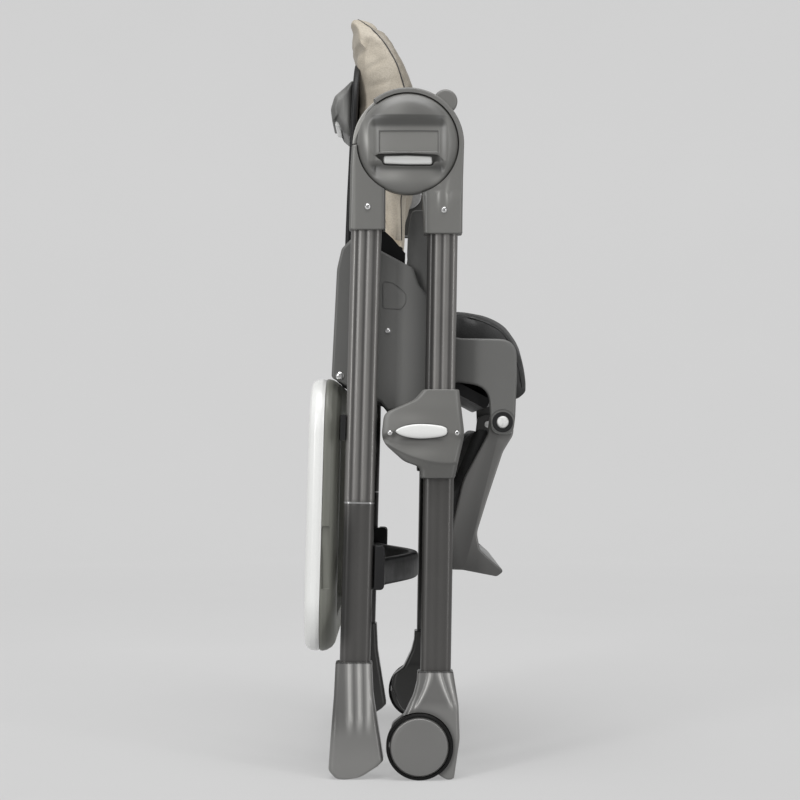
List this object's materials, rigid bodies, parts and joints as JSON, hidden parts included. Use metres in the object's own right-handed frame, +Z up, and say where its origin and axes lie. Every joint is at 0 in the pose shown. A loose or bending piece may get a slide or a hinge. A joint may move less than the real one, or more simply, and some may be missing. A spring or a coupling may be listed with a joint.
{
  "type": "baby high chair",
  "caption": "Folding height-adjustable baby high chair with reclining padded seat, swinging legrest, front wheels and a stored lift-off tray.",
  "frame": {"origin": "middle of the bounding box at floor level, with the chair standing folded", "axes": "+Z up, +X to the front of the seat, +Y to the seated child's left"},
  "size_m": [0.2875, 0.5792, 0.9872],
  "materials": {
    "shell": "satin moulded, fine texture",
    "casting": "satin with a slight metallic pearl",
    "tube": "satin powder coat on oval tube",
    "panel": "satin moulded, fine texture",
    "dark": "black moulded, matt",
    "steel": "plain bright",
    "chrome": "polished",
    "tyre": "matt",
    "white": "gloss moulded",
    "sage": "satin moulded",
    "beige": "soft coated cloth with a fine grain",
    "charcoal": "soft coated cloth with a fine grain"
  },
  "bodies": {
    "hub": {"hub_cover_right": "shell", "hub_cover_left": "shell", "hub_core_right": "steel", "hub_core_left": "steel"},
    "release_lever_right": {"release_lever_right": "white"},
    "release_lever_left": {"release_lever_left": "white"},
    "front_frame": {"front_sleeve_right": "shell", "front_sleeve_left": "shell", "front_tube_right": "tube", "front_tube_left": "tube", "front_sleeve_screw_right": "chrome", "front_sleeve_screw_left": "chrome", "wheel_housing_right": "casting", "wheel_housing_left": "casting", "wheel_axle_right": "steel", "wheel_axle_left": "steel", "front_crossbar": "tube"},
    "wheel_right": {"tyre_right": "tyre", "wheel_cap_right": "casting"},
    "wheel_left": {"tyre_left": "tyre", "wheel_cap_left": "casting"},
    "rear_frame": {"rear_sleeve_right": "shell", "rear_sleeve_left": "shell", "rear_tube_right": "tube", "rear_tube_left": "tube", "rear_sleeve_screw_right": "chrome", "rear_sleeve_screw_left": "chrome", "rear_foot_right": "casting", "rear_foot_left": "casting", "crossbar_bracket_right": "dark", "crossbar_bracket_left": "dark", "rear_crossbar": "dark", "tray_peg_right": "dark", "tray_peg_left": "dark"},
    "seat": {"carriage_right": "shell", "carriage_left": "shell", "seat_side_right": "panel", "seat_side_left": "panel", "seat_pan": "dark", "seat_cushion": "charcoal", "recline_rack_right": "dark", "recline_rack_left": "dark", "recline_rod": "steel", "recline_rod_screw_right": "chrome", "recline_rod_screw_left": "chrome", "legrest_pin_right": "chrome", "legrest_pin_left": "chrome"},
    "height_button_right": {"height_button_right": "white"},
    "height_button_left": {"height_button_left": "white"},
    "backrest": {"backrest_shell": "dark", "back_cushion": "beige", "recline_handle": "dark"},
    "recline_trigger": {"recline_trigger": "white"},
    "legrest": {"legrest_arm_right": "casting", "legrest_arm_left": "casting", "footrest": "casting", "calf_pad": "charcoal"},
    "tray_base": {"tray_base": "sage"},
    "tray_insert": {"tray_insert": "white"}
  },
  "joints": [
    {"name": "front_fold", "type": "hinge", "parent": "hub", "child": "front_frame", "pos_m": [-0.011, 0, 0.799], "axis": [0, 1, 0], "range_deg": [-28.4, 0]},
    {"name": "rear_fold", "type": "hinge", "parent": "hub", "child": "rear_frame", "pos_m": [-0.011, 0, 0.799], "axis": [0, 1, 0], "range_deg": [0, 24]},
    {"name": "wheel_right_spin", "type": "hinge", "parent": "front_frame", "child": "wheel_right", "pos_m": [0.0031, -0.276, 0.0415], "axis": [0, 1, 0], "continuous": true},
    {"name": "wheel_left_spin", "type": "hinge", "parent": "front_frame", "child": "wheel_left", "pos_m": [0.0031, 0.276, 0.0415], "axis": [0, 1, 0], "continuous": true},
    {"name": "seat_height", "type": "slide", "parent": "front_frame", "child": "seat", "axis": [0.0163, 0, 0.9999], "range_m": [0, 0.185]},
    {"name": "back_recline", "type": "hinge", "parent": "seat", "child": "backrest", "pos_m": [-0.098, 0, 0.507], "axis": [0, 1, 0], "range_deg": [-34, 16]},
    {"name": "trigger_pull", "type": "slide", "parent": "backrest", "child": "recline_trigger", "axis": [0, 0, 1], "range_m": [0, 0.008], "stiffness_N_per_m": 400, "springref_m": -0.003},
    {"name": "legrest_swing", "type": "hinge", "parent": "seat", "child": "legrest", "pos_m": [0.1106, 0, 0.448], "axis": [0, -1, 0], "range_deg": [0, 65]},
    {"name": "height_button_right_press", "type": "slide", "parent": "seat", "child": "height_button_right", "axis": [0, 1, 0], "range_m": [0, 0.005], "stiffness_N_per_m": 600, "springref_m": -0.002},
    {"name": "height_button_left_press", "type": "slide", "parent": "seat", "child": "height_button_left", "axis": [0, -1, 0], "range_m": [0, 0.005], "stiffness_N_per_m": 600, "springref_m": -0.002},
    {"name": "lever_right_lift", "type": "slide", "parent": "hub", "child": "release_lever_right", "axis": [0, 0, 1], "range_m": [0, 0.004], "stiffness_N_per_m": 500, "springref_m": -0.003},
    {"name": "lever_left_lift", "type": "slide", "parent": "hub", "child": "release_lever_left", "axis": [0, 0, 1], "range_m": [0, 0.004], "stiffness_N_per_m": 500, "springref_m": -0.003},
    {"name": "tray_slide_off", "type": "slide", "parent": "rear_frame", "child": "tray_base", "axis": [-1, 0, 0], "range_m": [0, 0.2]},
    {"name": "tray_insert_lift_off", "type": "slide", "parent": "tray_base", "child": "tray_insert", "axis": [-1, 0, 0], "range_m": [0, 0.15]}
  ],
  "couplings": [
    {"joint": "rear_fold", "follows": "front_fold", "ratio": -0.845}
  ]
}
